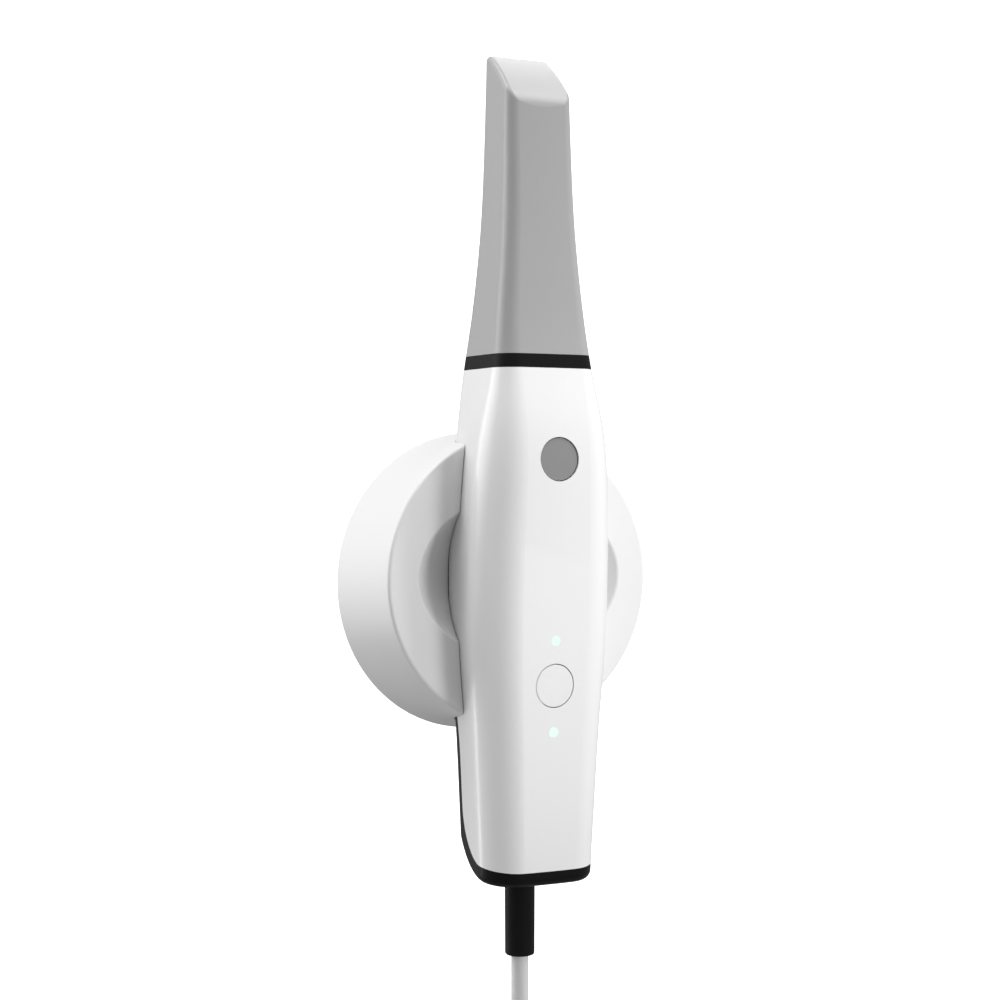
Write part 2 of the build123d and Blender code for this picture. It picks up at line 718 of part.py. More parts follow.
with BuildPart() as holder_body:
    with BuildSketch(Plane.XZ):
        Circle(holder_back_radius)
    with BuildSketch(Plane.XZ.offset(holder_depth)):
        with Locations((0, holder_rise)):
            Circle(holder_front_radius)
    loft()
    fillet(holder_body.edges().group_by(Axis.Y)[0], holder_edge_radius)
    add(cradle_form, mode=Mode.SUBTRACT)
    add(scoop.part, mode=Mode.SUBTRACT)
    add(holder_room.part, mode=Mode.SUBTRACT)
    rod(holder_back_radius - plate_rim, -plate_thickness, 0, 0, 0, Mode.SUBTRACT)
    for magnet_height in magnet_heights:
        magnet_front = surface_depths(magnet_height)[1] + cradle_clearance + magnet_skin
        rod(magnet_radius + magnet_fit, magnet_front, 0, 0, magnet_height, Mode.SUBTRACT)
    ring_edges = holder_body.edges().filter_by(lambda edge: abs(edge.center().Y - ring_y) < 0.01)
    middle_edges = ring_edges.filter_by(lambda edge: abs(edge.center().Z - scoop_height) < 1.0)
    fillet(middle_edges.filter_by(lambda edge: abs(edge.center().X) < scoop_half_width), scoop_rim_radius)
with BuildPart() as holder_magnets:
    for magnet_height in magnet_heights:
        magnet_front = surface_depths(magnet_height)[1] + cradle_clearance + magnet_skin
        rod(magnet_radius, magnet_front, magnet_front + magnet_thickness, 0, magnet_height)
with BuildPart() as handpiece_keepers:
    for magnet_height in magnet_heights:
        keeper_back = surface_depths(magnet_height)[1] - cover_step - magnet_skin
        rod(magnet_radius, keeper_back - keeper_thickness, keeper_back, 0, magnet_height)

# Wall plate that is screwed on first and that the holder snaps over
lug_radius = holder_back_radius - holder_wall - lug_gap - lug_inset - lug_thickness / 2
with BuildPart() as wall_plate:
    rod(holder_back_radius - plate_rim - plate_clearance, -plate_thickness, 0, 0, 0)
    with BuildSketch(Plane.XZ.offset(plate_thickness)):
        with PolarLocations(lug_radius, lug_count, start_angle=lug_turn - 90):
            Rectangle(lug_thickness, lug_width)
    extrude(amount=lug_reach)
    with BuildSketch(Plane.XZ.offset(plate_thickness)):
        with PolarLocations(plate_pcd / 2, plate_hole_count, start_angle=-90):
            Circle(plate_sink_radius)
    extrude(amount=plate_hole_radius - plate_sink_radius, taper=45, mode=Mode.SUBTRACT)
    with BuildSketch(Plane.XZ.offset(plate_thickness)):
        with PolarLocations(plate_pcd / 2, plate_hole_count, start_angle=-90):
            Circle(plate_hole_radius)
    extrude(amount=-plate_thickness, mode=Mode.SUBTRACT)

# Boot, held by its flange inside the rear cover, and the lead on to the connector
boot_top = boot_seat_height + boot_flange_thickness
with BuildPart() as cable_boot:
    with BuildSketch(Plane.XZ.offset(-cable_depth)) as boot_outline:
        with BuildLine():
            Polyline(
                (0, boot_top),
                (boot_flange_radius, boot_top),
                (boot_flange_radius, boot_seat_height),
                (boot_radius, boot_seat_height),
                (boot_end_radius, boot_bottom),
                (0, boot_bottom),
                close=True,
            )
        make_face()
        low_corner = boot_outline.vertices().sort_by_distance((boot_end_radius, boot_bottom))[0]
        fillet(low_corner, boot_end_round)
    revolve(axis=Axis((0, cable_depth, 0), (0, 0, 1)))
with BuildPart() as inner_lead:
    with Locations((0, cable_depth, boot_top)):
        Cylinder(lead_radius, main_board_bottom - boot_top, align=up)

# Cable, its coil with a tie, and the free end with the plug
with BuildPart() as cable:
    with BuildLine() as cable_route:
        FilletPolyline(*cable_points, radius=turn_radii(cable_points))
    with BuildSketch(Plane(cable_route.line @ 0, z_dir=cable_route.line % 0)):
        Circle(cable_radius)
    sweep(path=cable_route.line)
with BuildPart() as cable_tail:
    with BuildLine() as tail_route:
        FilletPolyline(*tail_points, radius=turn_radii(tail_points))
    with BuildSketch(Plane(tail_route.line @ 0, z_dir=tail_route.line % 0)):
        Circle(cable_radius)
    sweep(path=tail_route.line)
for name, tube, route, points in (
    ("cable", cable, cable_route, cable_points),
    ("tail", cable_tail, tail_route, tail_points),
):
    swept = pi * cable_radius**2 * route.wire().length
    bends = [round(radius, 1) for radius in turn_radii(points)]
    print(name, "bend radii", bends, "volume ratio", tube.part.volume / swept)
coil_axis = Axis((coil_x, 0, coil_z), (0, 1, 0))
with BuildPart() as cable_coil:
    with BuildSketch(Plane.XY.offset(coil_z)):
        with Locations((coil_x + coil_radius, cable_depth)):
            RectangleRounded(2 * coil_half_height, 2 * coil_half_width, coil_corner_radius)
    revolve(axis=coil_axis)
with BuildPart() as cable_tie:
    with BuildSketch(Plane.XY.offset(coil_z)):
        with Locations((coil_x - coil_radius, cable_depth)):
            outer_height = 2 * (coil_half_height + tie_gap + tie_thickness)
            outer_width = 2 * (coil_half_width + tie_gap + tie_thickness)
            RectangleRounded(outer_height, outer_width, coil_corner_radius + tie_gap + tie_thickness)
            inner_height = 2 * (coil_half_height + tie_gap)
            inner_width = 2 * (coil_half_width + tie_gap)
            RectangleRounded(inner_height, inner_width, coil_corner_radius + tie_gap, mode=Mode.SUBTRACT)
    revolve(axis=coil_axis, revolution_arc=degrees(tie_width / coil_radius))
plug_x, plug_y, plug_top = tail_points[-1]
plug_low = plug_top - plug_body_length
with BuildPart() as plug_body:
    with Locations((plug_x, plug_y, plug_top)):
        Box(
            plug_body_width,
            plug_body_thickness,
            plug_body_length,
            align=(Align.CENTER, Align.CENTER, Align.MAX),
        )
    fillet(plug_body.edges().filter_by(Axis.Z), plug_body_radius)
    fillet(plug_body.faces().sort_by(Axis.Z)[-1].edges(), plug_end_radius)
with BuildPart() as plug_shell:
    with Locations((plug_x, plug_y, plug_low)):
        down = (Align.CENTER, Align.CENTER, Align.MAX)
        Box(plug_shell_width, plug_shell_thickness, plug_shell_length, align=down)
        bore_width = plug_shell_width - 2 * plug_shell_wall
        bore_thickness = plug_shell_thickness - 2 * plug_shell_wall
        Box(bore_width, bore_thickness, plug_shell_length, align=down, mode=Mode.SUBTRACT)
with BuildPart() as plug_tongue:
    tongue_back = plug_y + bore_thickness / 2
    tongue_half = bore_width / 2 - plug_tongue_gap
    low = (plug_x - tongue_half, tongue_back - plug_tongue_thickness, plug_low - plug_tongue_length)
    bar(low, (plug_x + tongue_half, tongue_back, plug_low))

subparts = {
    "holder_body": holder_body,
    "wall_plate": wall_plate,
    "holder_magnets": holder_magnets,
    "handpiece_keepers": handpiece_keepers,
    "front_shell": front_shell,
    "rear_cover": rear_cover,
    "collar_ring": collar_ring,
    "nose_tube": nose_tube,
    "nose_window": nose_window,
    "scan_tip": scan_tip,
    "tip_mirror": tip_mirror,
    "scan_button": scan_button,
    "mode_button": mode_button,
    "upper_light_pipe": upper_light_pipe,
    "lower_light_pipe": lower_light_pipe,
    "button_board": button_board,
    "button_switches": button_switches,
    "indicator_leds": indicator_leds,
    "main_board": main_board,
    "processor_chip": processor_chip,
    "heat_sink": heat_sink,
    "cable_connector": cable_connector,
    "board_screws": board_screws,
    "sensor_board": sensor_board,
    "optics_chassis": optics_chassis,
    "projector_barrel": projector_barrel,
    "projector_lens": projector_lens,
    "camera_barrels": camera_barrels,
    "camera_lenses": camera_lenses,
    "cable_boot": cable_boot,
    "inner_lead": inner_lead,
    "cable": cable,
    "cable_coil": cable_coil,
    "cable_tie": cable_tie,
    "cable_tail": cable_tail,
    "plug_body": plug_body,
    "plug_shell": plug_shell,
    "plug_tongue": plug_tongue,
}
os.makedirs("parts", exist_ok=True)
for name, subpart in subparts.items():
    subpart.part.label = name
    export_step(subpart.part, f"parts/{name}.step")
    solids = subpart.part.solids()
    size = subpart.part.bounding_box().size
    print(name, len(solids), round(subpart.part.volume, 1), [round(v, 1) for v in size])
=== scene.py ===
import math
import bpy
import numpy as np
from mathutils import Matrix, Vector


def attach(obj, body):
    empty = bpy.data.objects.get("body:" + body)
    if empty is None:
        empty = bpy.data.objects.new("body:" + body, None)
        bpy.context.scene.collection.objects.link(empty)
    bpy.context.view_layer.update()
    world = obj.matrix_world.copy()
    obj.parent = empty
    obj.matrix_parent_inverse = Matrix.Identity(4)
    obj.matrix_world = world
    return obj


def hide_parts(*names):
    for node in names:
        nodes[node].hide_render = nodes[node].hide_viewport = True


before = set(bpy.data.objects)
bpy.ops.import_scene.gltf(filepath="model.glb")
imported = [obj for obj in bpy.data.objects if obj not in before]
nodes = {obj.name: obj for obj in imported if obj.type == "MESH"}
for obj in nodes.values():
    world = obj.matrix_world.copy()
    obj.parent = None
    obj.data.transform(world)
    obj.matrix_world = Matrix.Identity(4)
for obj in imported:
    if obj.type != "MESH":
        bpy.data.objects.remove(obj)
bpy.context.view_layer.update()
print("frame loaded:", len(nodes), "nodes")


def linkObject(piece):
    bpy.context.scene.collection.objects.link(piece)


def aimAlong(direction):
    return Vector(direction).to_track_quat("-Z", "Y").to_euler()


# camera: long lens, left of the buttons and almost level
cameraSet = {
    "place": (-0.3119, -0.5687, 0.02825),
    "aim": (0.4924, 0.8704, -0.0080),
    "lens": 81.0,  # mm
    "sensor": 36.0,  # mm
}


def makeCamera(look):
    camData = bpy.data.cameras.new("camera")
    camData.lens = look["lens"]
    camData.sensor_width = look["sensor"]
    camera = bpy.data.objects.new("camera", camData)
    camera.location = look["place"]
    camera.rotation_euler = aimAlong(look["aim"])
    linkObject(camera)
    bpy.context.scene.camera = camera


makeCamera(cameraSet)
print("camera set")

floatSocket = "NodeSocketFloat"
middle = 0.5  # noise swings about this value


def linkNodes(tree, pairs):
    for source, target in pairs:
        tree.links.new(source, target)


def setInputs(node, values):
    for label, value in values.items():
        node.inputs[label].default_value = value


def opaque(colour, share=1.0):
    return (*[c * share for c in colour], 1.0)


def mathNode(tree, operation):
    node = tree.nodes.new("ShaderNodeMath")
    node.operation = operation
    return node


def colourMix(tree, first, second):
    node = tree.nodes.new("ShaderNodeMix")
    node.data_type = "RGBA"
    node.inputs[6].default_value = first
    node.inputs[7].default_value = second
    return node


def bumpNode(tree, strength, distance):
    node = tree.nodes.new("ShaderNodeBump")
    setInputs(node, {"Strength": strength, "Distance": distance})
    return node


def groupNode(tree, group, values):
    node = tree.nodes.new("ShaderNodeGroup")
    node.node_tree = group
    setInputs(node, values)
    return node


def newGroup(name, inputs, outputs):
    group = bpy.data.node_groups.new(name, "ShaderNodeTree")
    for label, default in inputs.items():
        socket = group.interface.new_socket(name=label, in_out="INPUT", socket_type=floatSocket)
        socket.default_value = default
    for label in outputs:
        group.interface.new_socket(name=label, in_out="OUTPUT", socket_type=floatSocket)
    return group, group.nodes.new("NodeGroupInput"), group.nodes.new("NodeGroupOutput")


# moulded skin: fine spark-eroded grain for the bump, broad cloudy change for colour and gloss
skinSet = {
    "inputs": {"Grain Scale": 2500.0, "Cloud Scale": 22.0, "Roughness": 0.3, "Roughness Spread": 0.08, "Shade": 0.04},
    "outputs": ["Dark", "Roughness", "Height"],
    "grainDetail": 3.0,
    "cloudDetail": 5.0,
    "cloudRough": 0.62,
}


def buildMouldedSkin(look):
    group, gin, gout = newGroup("mouldedSkin", look["inputs"], look["outputs"])
    coord = group.nodes.new("ShaderNodeTexCoord")
    grain = group.nodes.new("ShaderNodeTexNoise")
    setInputs(grain, {"Detail": look["grainDetail"]})
    cloud = group.nodes.new("ShaderNodeTexNoise")
    setInputs(cloud, {"Detail": look["cloudDetail"], "Roughness": look["cloudRough"]})
    centred = mathNode(group, "SUBTRACT")
    centred.inputs[1].default_value = middle
    rough = mathNode(group, "MULTIPLY_ADD")
    dark = mathNode(group, "MULTIPLY")
    linkNodes(group, [
        (coord.outputs["Object"], grain.inputs["Vector"]),
        (gin.outputs["Grain Scale"], grain.inputs["Scale"]),
        (coord.outputs["Object"], cloud.inputs["Vector"]),
        (gin.outputs["Cloud Scale"], cloud.inputs["Scale"]),
        (cloud.outputs["Fac"], centred.inputs[0]),
        (centred.outputs[0], rough.inputs[0]),
        (gin.outputs["Roughness Spread"], rough.inputs[1]),
        (gin.outputs["Roughness"], rough.inputs[2]),
        (cloud.outputs["Fac"], dark.inputs[0]),
        (gin.outputs["Shade"], dark.inputs[1]),
        (dark.outputs[0], gout.inputs["Dark"]),
        (rough.outputs[0], gout.inputs["Roughness"]),
        (grain.outputs["Fac"], gout.inputs["Height"]),
    ])
    return group


# brushed lines: noise stretched along one axis, for sheet and turned metal
brushSet = {
    "inputs": {"Across": 3000.0, "Along": 60.0, "Roughness": 0.3, "Spread": 0.2},
    "outputs": ["Roughness", "Height"],
    "scale": 1.0,
    "detail": 4.0,
}


def buildBrushedLines(look):
    group, gin, gout = newGroup("brushedLines", look["inputs"], look["outputs"])
    coord = group.nodes.new("ShaderNodeTexCoord")
    join = group.nodes.new("ShaderNodeCombineXYZ")
    stretch = group.nodes.new("ShaderNodeVectorMath")
    stretch.operation = "MULTIPLY"
    lines = group.nodes.new("ShaderNodeTexNoise")
    setInputs(lines, {"Scale": look["scale"], "Detail": look["detail"]})
    centred = mathNode(group, "SUBTRACT")
    centred.inputs[1].default_value = middle
    rough = mathNode(group, "MULTIPLY_ADD")
    linkNodes(group, [
        (gin.outputs["Across"], join.inputs["X"]),
        (gin.outputs["Across"], join.inputs["Y"]),
        (gin.outputs["Along"], join.inputs["Z"]),
        (coord.outputs["Object"], stretch.inputs[0]),
        (join.outputs[0], stretch.inputs[1]),
        (stretch.outputs[0], lines.inputs["Vector"]),
        (lines.outputs["Fac"], centred.inputs[0]),
        (centred.outputs[0], rough.inputs[0]),
        (gin.outputs["Spread"], rough.inputs[1]),
        (gin.outputs["Roughness"], rough.inputs[2]),
        (rough.outputs[0], gout.inputs["Roughness"]),
        (lines.outputs["Fac"], gout.inputs["Height"]),
    ])
    return group


mouldedSkin = buildMouldedSkin(skinSet)
brushedLines = buildBrushedLines(brushSet)
print("shader groups ready")


def newMaterial(name):
    mat = bpy.data.materials.new(name)
    mat.use_nodes = True
    return mat, mat.node_tree, mat.node_tree.nodes["Principled BSDF"]


# moulded plastic or rubber: colour darkened a little by the cloud, roughness from the group, grain as bump
plasticSet = {
    "grain": 2500.0, "cloud": 22.0, "spread": 0.06, "shade": 0.04, "darkest": 0.5, "bump": 0.05, "depth": 0.00005,
    "coat": 0.0, "coatRough": 0.05, "specular": 0.5,
}


def plastic(name, ownLook):
    look = {**plasticSet, **ownLook}
    mat, tree, shader = newMaterial(name)
    skin = groupNode(tree, mouldedSkin, {
        "Grain Scale": look["grain"], "Cloud Scale": look["cloud"], "Roughness": look["rough"],
        "Roughness Spread": look["spread"], "Shade": look["shade"],
    })
    tint = colourMix(tree, opaque(look["colour"]), opaque(look["colour"], look["darkest"]))
    bump = bumpNode(tree, look["bump"], look["depth"])
    linkNodes(tree, [
        (skin.outputs["Dark"], tint.inputs[0]),
        (tint.outputs[2], shader.inputs["Base Color"]),
        (skin.outputs["Roughness"], shader.inputs["Roughness"]),
        (skin.outputs["Height"], bump.inputs["Height"]),
        (bump.outputs[0], shader.inputs["Normal"]),
    ])
    setInputs(shader, {
        "Coat Weight": look["coat"], "Coat Roughness": look["coatRough"], "Specular IOR Level": look["specular"],
    })
    return mat


# metal: even colour, brushed roughness and bump
metalSet = {"across": 3000.0, "along": 60.0, "spread": 0.15, "bump": 0.08, "depth": 0.00003}


def metal(name, ownLook):
    look = {**metalSet, **ownLook}
    mat, tree, shader = newMaterial(name)
    lines = groupNode(tree, brushedLines, {
        "Across": look["across"], "Along": look["along"], "Roughness": look["rough"], "Spread": look["spread"],
    })
    bump = bumpNode(tree, look["bump"], look["depth"])
    linkNodes(tree, [
        (lines.outputs["Roughness"], shader.inputs["Roughness"]),
        (lines.outputs["Height"], bump.inputs["Height"]),
        (bump.outputs[0], shader.inputs["Normal"]),
    ])
    setInputs(shader, {"Base Color": opaque(look["colour"]), "Metallic": 1.0})
    return mat


plasticLooks = {
    "shellWhite": {"colour": (0.82, 0.82, 0.825), "rough": 0.32, "spread": 0.05, "coat": 0.3, "coatRough": 0.2,
                   "bump": 0.02, "shade": 0.03},
    "holderWhite": {"colour": (0.8, 0.8, 0.8), "rough": 0.34, "grain": 3200.0, "bump": 0.06},
    "plateWhite": {"colour": (0.76, 0.76, 0.75), "rough": 0.5, "bump": 0.1},
    "coverBlack": {"colour": (0.006, 0.006, 0.0065), "rough": 0.38, "specular": 0.1, "bump": 0.03},
    "collarBlack": {"colour": (0.009, 0.009, 0.0095), "rough": 0.45, "specular": 0.08},
    "noseBlack": {"colour": (0.02, 0.02, 0.02), "rough": 0.5, "bump": 0.12},
    "tipGrey": {"colour": (0.375, 0.375, 0.375), "rough": 0.37, "grain": 3600.0, "bump": 0.06, "shade": 0.05},
    "buttonGrey": {"colour": (0.25, 0.25, 0.25), "rough": 0.5, "grain": 4200.0, "bump": 0.12},
    "buttonWhite": {"colour": (0.82, 0.82, 0.825), "rough": 0.22, "coat": 0.4, "bump": 0.02},
    "switchBlack": {"colour": (0.02, 0.02, 0.02), "rough": 0.45, "bump": 0.1},
    "ledWhite": {"colour": (0.8, 0.79, 0.7), "rough": 0.4},
    "chipBlack": {"colour": (0.018, 0.018, 0.018), "rough": 0.55, "grain": 5000.0, "bump": 0.15},
    "connectorWhite": {"colour": (0.72, 0.7, 0.64), "rough": 0.45},
    "barrelBlack": {"colour": (0.015, 0.015, 0.016), "rough": 0.42, "grain": 5200.0, "bump": 0.1},
    "bootBlack": {"colour": (0.01, 0.01, 0.0102), "rough": 0.45, "specular": 0.08, "bump": 0.03},
    "leadBlack": {"colour": (0.02, 0.02, 0.02), "rough": 0.5},
    "cableGrey": {"colour": (0.74, 0.74, 0.74), "rough": 0.46, "grain": 2800.0, "bump": 0.08, "shade": 0.06},
    "plugGrey": {"colour": (0.42, 0.42, 0.42), "rough": 0.5, "grain": 3000.0, "bump": 0.14},
    "tongueWhite": {"colour": (0.75, 0.75, 0.74), "rough": 0.4},
}
metalLooks = {
    "magnetNickel": {"colour": (0.68, 0.66, 0.62), "rough": 0.2},
    "keeperSteel": {"colour": (0.5, 0.5, 0.5), "rough": 0.35},
    "sinkAluminium": {"colour": (0.72, 0.72, 0.73), "rough": 0.4},
    "screwSteel": {"colour": (0.52, 0.53, 0.55), "rough": 0.32},
    "chassisAluminium": {"colour": (0.12, 0.12, 0.13), "rough": 0.45},
    "plugSteel": {"colour": (0.7, 0.69, 0.66), "rough": 0.2, "along": 30.0},
    "tipMirror": {"colour": (0.93, 0.93, 0.93), "rough": 0.03, "spread": 0.01},
}
mats = {name: plastic(name, look) for name, look in plasticLooks.items()}
mats.update({name: metal(name, look) for name, look in metalLooks.items()})

# lit light pipe: clear plastic that glows pale green, a little uneven
pipeSet = {
    "colour": (0.03, 0.04, 0.035), "core": (0.86, 1.0, 0.95), "edge": (0.78, 1.0, 0.91), "power": 0.97, "haze": 900.0,
    "rough": 0.2,
}


def litPipe(name, look):
    mat, tree, shader = newMaterial(name)
    coord = tree.nodes.new("ShaderNodeTexCoord")
    haze = tree.nodes.new("ShaderNodeTexNoise")
    setInputs(haze, {"Scale": look["haze"]})
    glow = colourMix(tree, opaque(look["core"]), opaque(look["edge"]))
    linkNodes(tree, [
        (coord.outputs["Object"], haze.inputs["Vector"]),
        (haze.outputs["Fac"], glow.inputs[0]),
        (glow.outputs[2], shader.inputs["Emission Color"]),
    ])
    setInputs(shader, {
        "Base Color": opaque(look["colour"]), "Emission Strength": look["power"], "Roughness": look["rough"],
    })
    return mat


mats["lightMint"] = litPipe("lightMint", pipeSet)

# coated glass: clear, faint green tint, polished with a trace of haze
glassSet = {"colour": (0.86, 0.94, 0.92), "rough": 0.03, "spread": 0.02, "index": 1.52}


def coatedGlass(name, look):
    mat, tree, shader = newMaterial(name)
    skin = groupNode(tree, mouldedSkin, {"Roughness": look["rough"], "Roughness Spread": look["spread"]})
    linkNodes(tree, [(skin.outputs["Roughness"], shader.inputs["Roughness"])])
    setInputs(shader, {"Base Color": opaque(look["colour"]), "Transmission Weight": 1.0, "IOR": look["index"]})
    return mat


mats["opticGlass"] = coatedGlass("opticGlass", glassSet)

# circuit board: green resist over paler tracks, tracks from a square brick pattern
boardSet = {
    "resist": (0.02, 0.13, 0.05), "track": (0.05, 0.24, 0.1), "shade": 0.8, "scale": 160.0, "width": 0.06,
    "bump": 0.2, "depth": 0.00004, "rough": 0.35,
}


def circuitBoard(name, look):
    mat, tree, shader = newMaterial(name)
    coord = tree.nodes.new("ShaderNodeTexCoord")
    turn = tree.nodes.new("ShaderNodeMapping")
    setInputs(turn, {"Rotation": (math.pi / 2, 0.0, 0.0)})
    tracks = tree.nodes.new("ShaderNodeTexBrick")
    setInputs(tracks, {
        "Scale": look["scale"], "Mortar Size": look["width"], "Color1": opaque(look["resist"]),
        "Color2": opaque(look["resist"], look["shade"]), "Mortar": opaque(look["track"]),
    })
    bump = bumpNode(tree, look["bump"], look["depth"])
    linkNodes(tree, [
        (coord.outputs["Object"], turn.inputs["Vector"]),
        (turn.outputs[0], tracks.inputs["Vector"]),
        (tracks.outputs["Color"], shader.inputs["Base Color"]),
        (tracks.outputs["Fac"], bump.inputs["Height"]),
        (bump.outputs[0], shader.inputs["Normal"]),
    ])
    setInputs(shader, {"Roughness": look["rough"]})
    return mat


mats["boardGreen"] = circuitBoard("boardGreen", boardSet)

# woven strap: two crossed wave patterns give the ribs
strapSet = {
    "colour": (0.035, 0.035, 0.037), "darkest": 0.4, "ribs": 260.0, "picks": 320.0, "bump": 0.5, "depth": 0.0002,
    "rough": 0.85, "sheen": 0.3,
}


def waveNode(tree, direction, scale):
    node = tree.nodes.new("ShaderNodeTexWave")
    node.bands_direction = direction
    setInputs(node, {"Scale": scale})
    return node


def wovenStrap(name, look):
    mat, tree, shader = newMaterial(name)
    coord = tree.nodes.new("ShaderNodeTexCoord")
    ribs = waveNode(tree, "Z", look["ribs"])
    picks = waveNode(tree, "DIAGONAL", look["picks"])
    weave = mathNode(tree, "MULTIPLY")
    shade = colourMix(tree, opaque(look["colour"], look["darkest"]), opaque(look["colour"]))
    bump = bumpNode(tree, look["bump"], look["depth"])
    linkNodes(tree, [
        (coord.outputs["Object"], ribs.inputs["Vector"]),
        (coord.outputs["Object"], picks.inputs["Vector"]),
        (ribs.outputs["Fac"], weave.inputs[0]),
        (picks.outputs["Fac"], weave.inputs[1]),
        (weave.outputs[0], shade.inputs[0]),
        (shade.outputs[2], shader.inputs["Base Color"]),
        (weave.outputs[0], bump.inputs["Height"]),
        (bump.outputs[0], shader.inputs["Normal"]),
    ])
    setInputs(shader, {"Roughness": look["rough"], "Sheen Weight": look["sheen"]})
    return mat


mats["tieBlack"] = wovenStrap("tieBlack", strapSet)
print("materials ready:", len(mats))

finishes = {
    "holder_body": "holderWhite", "wall_plate": "plateWhite", "holder_magnets": "magnetNickel",
    "handpiece_keepers": "keeperSteel", "front_shell": "shellWhite", "rear_cover": "coverBlack",
    "collar_ring": "collarBlack", "nose_tube": "noseBlack", "nose_window": "opticGlass",
    "scan_tip": "tipGrey", "tip_mirror": "tipMirror", "scan_button": "buttonGrey", "mode_button": "buttonWhite",
    "upper_light_pipe": "lightMint", "lower_light_pipe": "lightMint", "button_board": "boardGreen",
    "button_switches": "switchBlack", "indicator_leds": "ledWhite", "main_board": "boardGreen",
    "processor_chip": "chipBlack", "heat_sink": "sinkAluminium", "cable_connector": "connectorWhite",
    "board_screws": "screwSteel", "sensor_board": "boardGreen", "optics_chassis": "chassisAluminium",
    "projector_barrel": "barrelBlack", "projector_lens": "opticGlass", "camera_barrels": "barrelBlack",
    "camera_lenses": "opticGlass", "cable_boot": "bootBlack", "inner_lead": "leadBlack", "cable": "cableGrey",
    "cable_coil": "cableGrey", "cable_tie": "tieBlack", "cable_tail": "cableGrey", "plug_body": "plugGrey",
    "plug_shell": "plugSteel", "plug_tongue": "tongueWhite",
}
for nodeName, finish in finishes.items():
    mesh = nodes[nodeName].data
    mesh.materials.clear()
    mesh.materials.append(mats[finish])
print("finishes on", len(finishes), "nodes")

# cable: straight out of the boot, round the tied coil, then over its front to the plug
cableSet = {
    "lead": [(0.0, -0.0285, -0.1029), (0.0, -0.0285, -0.1105), (0.0, -0.0285, -0.1205),
             (0.0055, -0.0232, -0.1332)],
    "tail": [(0.0175, -0.0376, -0.1449), (0.0246, -0.0404, -0.1533), (0.0284, -0.0426, -0.1637),
             (0.0284, -0.0426, -0.1747)],
    "radius": 0.0024,
    "length": 1.748,
    "centre": (-0.0079, -0.0285, -0.1669),
    "pitch": 0.0048,  # from turn to turn
    "meanRadius": 0.027,
    "rows": 3,  # turns outside each other
    "columns": 4,  # turns behind each other
    "turns": 10,
    "perTurn": 24,  # points in a turn
    "startAngle": 41.2,  # degrees, as all below
    "endAngle": 60.0,
    "firstStep": 200.0,
    "stepTurn": 90.0,
    "earlyStep": 60.0,
    "ringSegments": 5,
    "pathSegments": 4,
    "order": 3,
}
fullTurn = 360.0


# coil: angle runs steadily round the centre while radius and depth step from one place in the stack to the next,
# each step eased over a quarter of a turn; steps next to a column's end come 60 degrees early so turns never meet
def coilPoints(look):
    rows, columns = look["rows"], look["columns"]
    outToIn = [rows // 2 - row for row in range(rows)]
    cells = []
    for column in range(columns):
        depth = (columns - 1) / 2 - column
        cells += [(row, depth) for row in (outToIn if column % 2 == 0 else outToIn[::-1])]
    atEnd = np.isin(np.arange(len(cells) - 1) % rows, (0, rows - 1))
    gaps = fullTurn - look["earlyStep"] * atEnd
    steps = look["firstStep"] + np.concatenate([[0.0], np.cumsum(gaps[1:])])
    total = look["startAngle"] - look["endAngle"] + fullTurn * look["turns"]
    t = np.linspace(0.0, total, int(total / fullTurn * look["perTurn"]))
    ease = np.clip((t[:, None] - steps[None, :]) / look["stepTurn"] + 0.5, 0.0, 1.0)
    ease = ease * ease * (3.0 - 2.0 * ease)
    place = np.array(cells[0], float) + ease @ np.diff(np.array(cells, float), axis=0)
    angle = np.radians(look["startAngle"] - t)
    radius = look["meanRadius"] + look["pitch"] * place[:, 0]
    offset = np.stack([radius * np.cos(angle), look["pitch"] * place[:, 1], radius * np.sin(angle)], axis=1)
    return np.array(look["centre"]) + offset


def makeCable(look):
    route = np.concatenate([np.array(look["lead"]), coilPoints(look), np.array(look["tail"])])
    curve = bpy.data.curves.new("cordLine", "CURVE")
    curve.dimensions = "3D"
    curve.bevel_depth = look["radius"]
    curve.bevel_resolution = look["ringSegments"]
    curve.resolution_u = look["pathSegments"]
    curve.use_fill_caps = True
    spline = curve.splines.new("NURBS")
    spline.points.add(len(route) - 1)
    spline.points.foreach_set("co", np.concatenate([route, np.ones((len(route), 1))], axis=1).ravel())
    spline.order_u = look["order"]
    spline.use_endpoint_u = True
    piece = bpy.data.objects.new("scannerCord", curve)
    linkObject(piece)
    curve.materials.append(mats["cableGrey"])
    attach(piece, "scanner")
    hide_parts("cable", "cable_coil", "cable_tail")


makeCable(cableSet)
print("cable laid")

# studio: pale floor sweeping up into a backdrop that glows white
stageSet = {
    "floor": -0.3, "back": 0.8, "half": 3.0, "bend": 0.4, "top": 2.2, "front": -2.5, "bendPoints": 24,
    "colour": (0.9, 0.9, 0.9), "rough": 0.9, "glow": (1.0, 1.0, 1.0), "glowPower": 1.0,
}


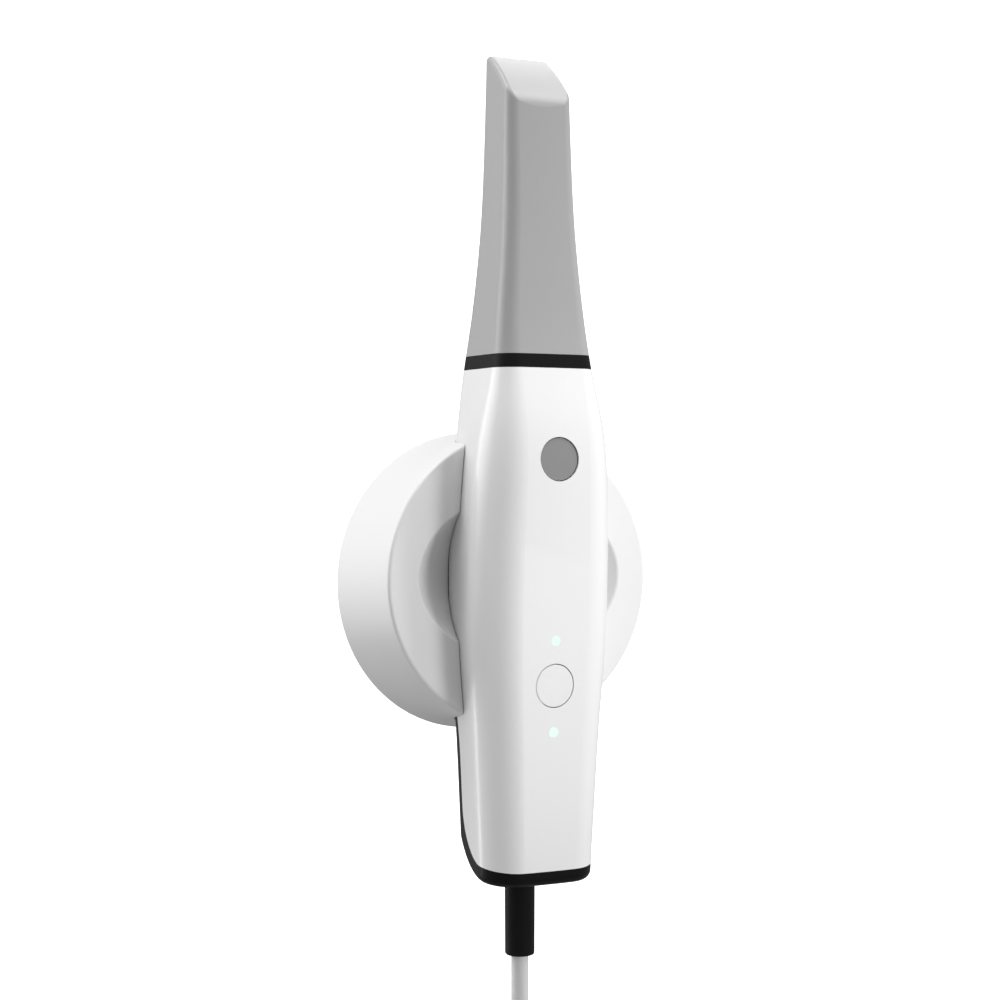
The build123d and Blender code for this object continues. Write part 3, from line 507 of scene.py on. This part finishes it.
# sweep: a line along the floor, a quarter circle and a line up the back, carried across the width
def makeStage(look):
    turn = np.linspace(0.0, math.pi / 2, look["bendPoints"])
    bendY = look["back"] - look["bend"] + look["bend"] * np.sin(turn)
    bendZ = look["floor"] + look["bend"] * (1 - np.cos(turn))
    alongY = np.concatenate([[look["front"]], bendY, [look["back"]]])
    upZ = np.concatenate([[look["floor"]], bendZ, [look["top"]]])
    sides = np.array([-look["half"], look["half"]])
    grid = np.stack(np.broadcast_arrays(sides[None, :], alongY[:, None], upZ[:, None]), axis=-1)
    row = np.arange(len(alongY) - 1) * 2
    faces = np.stack([row, row + 1, row + 3, row + 2], axis=1)
    mesh = bpy.data.meshes.new("sweep")
    mesh.from_pydata(grid.reshape(-1, 3).tolist(), [], faces.tolist())
    mesh.polygons.foreach_set("use_smooth", np.ones(len(faces), bool))
    mat, tree, shader = newMaterial("sweepPaper")
    setInputs(shader, {
        "Base Color": opaque(look["colour"]), "Roughness": look["rough"], "Emission Color": opaque(look["glow"]),
        "Emission Strength": look["glowPower"],
    })
    mesh.materials.append(mat)
    sweep = bpy.data.objects.new("sweep", mesh)
    linkObject(sweep)
    sweep.visible_diffuse = False
    sweep.visible_glossy = False
    sweep.visible_shadow = False


makeStage(stageSet)

# lights: azimuth in degrees from the front (-Y) round toward +X, then metres and watts; the front ones are too small
# to be mirrored, and the one behind the tip's end is there only to be mirrored
lightSets = [
    {"name": "frontRight", "azimuth": 50.0, "height": -0.1, "away": 0.7, "size": (0.2, 0.2), "power": 0.105,
     "spread": 40.0, "aimHeight": 0.045, "mirrored": False},
    {"name": "frontSoft", "azimuth": 24.0, "height": -0.15, "away": 0.9, "size": (0.3, 0.3), "power": 0.15,
     "spread": 32.0, "aimHeight": 0.045, "mirrored": False},
    {"name": "leftRear", "azimuth": -105.0, "height": 0.4, "away": 1.0, "size": (0.4, 0.8), "power": 1.5},
    {"name": "rearStrip", "azimuth": -122.0, "height": 0.36, "away": 1.0, "size": (0.36, 0.8), "power": 2.1},
    {"name": "rearRim", "azimuth": -140.0, "height": 0.15, "away": 1.0, "size": (0.2, 1.3), "power": 3.2},
    {"name": "topSoft", "azimuth": -30.0, "height": 1.1, "away": 0.35, "size": (0.6, 0.4), "power": 2.4},
    {"name": "topLeft", "azimuth": -105.0, "height": 1.0, "away": 0.45, "size": (0.4, 0.4), "power": 5.3},
    {"name": "topEnd", "azimuth": 55.0, "height": 0.85, "away": 0.62, "size": (0.5, 0.5), "power": 5.0},
    {"name": "endMirror", "azimuth": 126.0, "height": 1.2, "away": 0.8, "size": (0.8, 0.8), "power": 6.4,
     "diffuse": False},
]
lightSet = {"spread": 180.0, "aimDepth": -0.03, "aimHeight": 0.03, "mirrored": True, "diffuse": True}
worldSet = {"colour": (1.0, 1.0, 1.0), "power": 0.335}


def makeLight(ownLook):
    look = {**lightSet, **ownLook}
    area = bpy.data.lights.new(look["name"], "AREA")
    area.shape = "RECTANGLE"
    area.size, area.size_y = look["size"]
    area.energy = look["power"]
    area.spread = math.radians(look["spread"])
    lamp = bpy.data.objects.new(look["name"], area)
    turn = math.radians(look["azimuth"])
    lamp.location = (look["away"] * math.sin(turn), -look["away"] * math.cos(turn), look["height"])
    lamp.rotation_euler = aimAlong(Vector((0.0, look["aimDepth"], look["aimHeight"])) - lamp.location)
    lamp.visible_glossy = look["mirrored"]
    lamp.visible_diffuse = look["diffuse"]
    linkObject(lamp)


def makeWorld(look):
    world = bpy.data.worlds.new("studio")
    world.use_nodes = True
    setInputs(world.node_tree.nodes["Background"], {"Color": opaque(look["colour"]), "Strength": look["power"]})
    bpy.context.scene.world = world


for look in lightSets:
    makeLight(look)
makeWorld(worldSet)
bpy.context.scene.view_settings.view_transform = "Standard"
print("studio lit")
